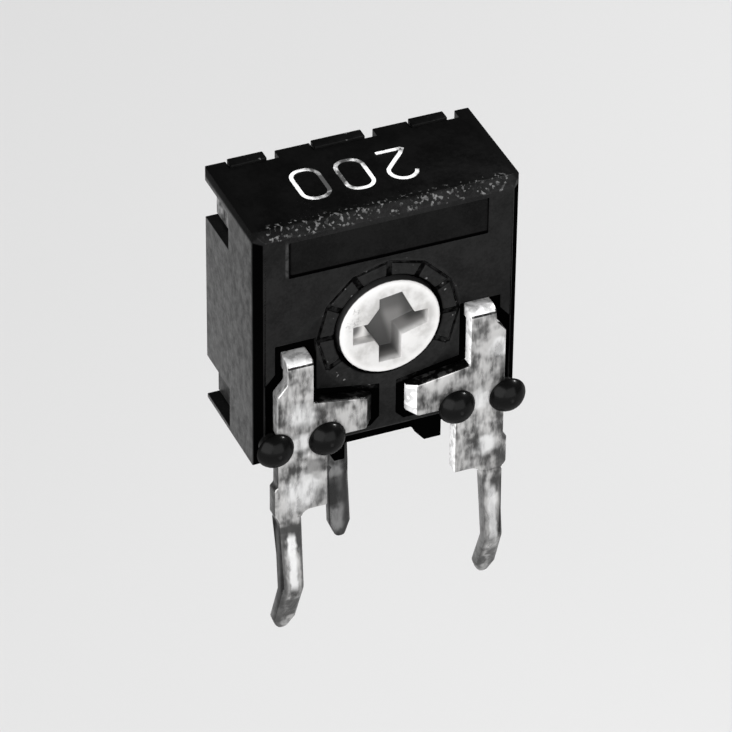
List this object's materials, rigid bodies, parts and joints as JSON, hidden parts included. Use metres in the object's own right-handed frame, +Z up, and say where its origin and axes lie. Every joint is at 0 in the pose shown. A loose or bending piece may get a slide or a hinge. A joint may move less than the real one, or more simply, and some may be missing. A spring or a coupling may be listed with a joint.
{
  "type": "trimmer potentiometer",
  "caption": "Small single-turn carbon trimmer potentiometer: upright black housing, front rotor with a cross slot, stamped solder terminals below.",
  "frame": {"origin": "on the board plane, in the middle of the pin pattern: halfway between the row of the two end pins and the centre pin", "axes": "+X to the right seen from the front, +Y from the front face to the back, +Z up from the board along the upright housing"},
  "size_m": [0.0068, 0.0038, 0.0114],
  "materials": {
    "housing": "black glass-filled moulding, fine grain",
    "cover": "black moulding, fine grain",
    "rotor": "off-white moulding",
    "terminal": "tinned, slightly mottled",
    "wiper": "spring sheet, bright",
    "plate": "brown phenolic paper laminate",
    "carbon": "fine carbon print, satin",
    "silver": "silver print, satin"
  },
  "bodies": {
    "base": {"housing": "housing", "rear_cover": "cover", "resistor_plate": "plate", "carbon_track": "carbon", "end_contacts": "silver", "left_terminal": "terminal", "right_terminal": "terminal", "centre_terminal": "terminal"},
    "turning": {"rotor": "rotor", "wiper": "wiper"}
  },
  "joints": [
    {"name": "rotor_turn", "type": "hinge", "parent": "base", "child": "turning", "pos_m": [0, -0.00115, 0.00458], "axis": [0, 1, 0], "range_deg": [-117.5, 117.5]}
  ]
}
